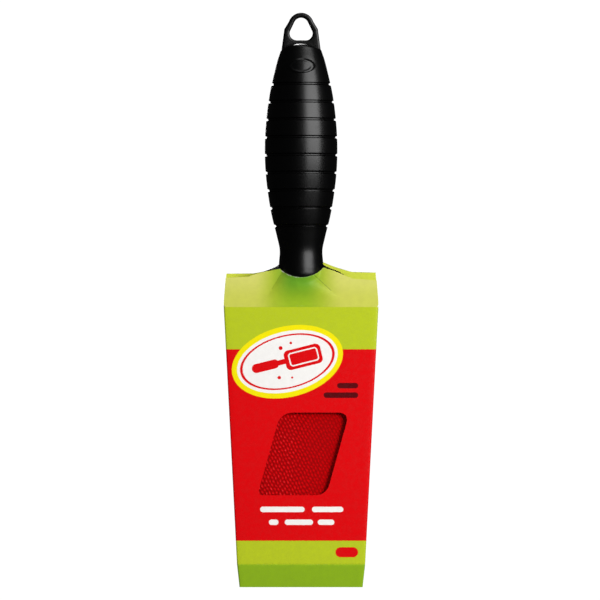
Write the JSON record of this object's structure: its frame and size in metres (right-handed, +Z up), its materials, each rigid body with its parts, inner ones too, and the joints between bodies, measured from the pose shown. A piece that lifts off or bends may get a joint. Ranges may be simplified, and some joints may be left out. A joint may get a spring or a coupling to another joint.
{
  "type": "clothes brush",
  "caption": "Double-sided fabric clothes brush with a ribbed grip and hanging loop, its paddle head in a slide-off folded card sleeve with a slanted window and hinged top flaps.",
  "frame": {"origin": "top of the hanging hole in the loop, where a peg bears", "axes": "+Z up along the handle towards the loop, -Y towards the front with the window, +X to the right seen from the front"},
  "size_m": [0.0712, 0.0334, 0.2649],
  "materials": {
    "black_plastic": "satin",
    "plate_plastic": "matte",
    "foam": "matte",
    "red_fabric": "matte",
    "printed_card": "satin"
  },
  "bodies": {
    "brush": {"front_shell": "black_plastic", "rear_shell": "black_plastic", "front_pad_plate": "plate_plastic", "rear_pad_plate": "plate_plastic", "front_foam": "foam", "rear_foam": "foam", "front_fabric": "red_fabric", "rear_fabric": "red_fabric"},
    "sleeve": {"carton_front_panel": "printed_card", "carton_rear_panel": "printed_card", "carton_left_side": "printed_card", "carton_right_side": "printed_card", "carton_glue_tab": "printed_card", "carton_front_bottom": "printed_card", "carton_rear_bottom": "printed_card"},
    "front_flap": {"carton_front_flap": "printed_card"},
    "rear_flap": {"carton_rear_flap": "printed_card"}
  },
  "joints": [
    {"name": "sleeve_slide", "type": "slide", "parent": "brush", "child": "sleeve", "axis": [0, 0, -1], "range_m": [0, 0.15]},
    {"name": "front_flap_fold", "type": "hinge", "parent": "sleeve", "child": "front_flap", "pos_m": [0, -0.0092, -0.1329], "axis": [1, 0, 0], "range_deg": [0, 115]},
    {"name": "rear_flap_fold", "type": "hinge", "parent": "sleeve", "child": "rear_flap", "pos_m": [0, 0.0092, -0.1329], "axis": [-1, 0, 0], "range_deg": [0, 115]}
  ]
}
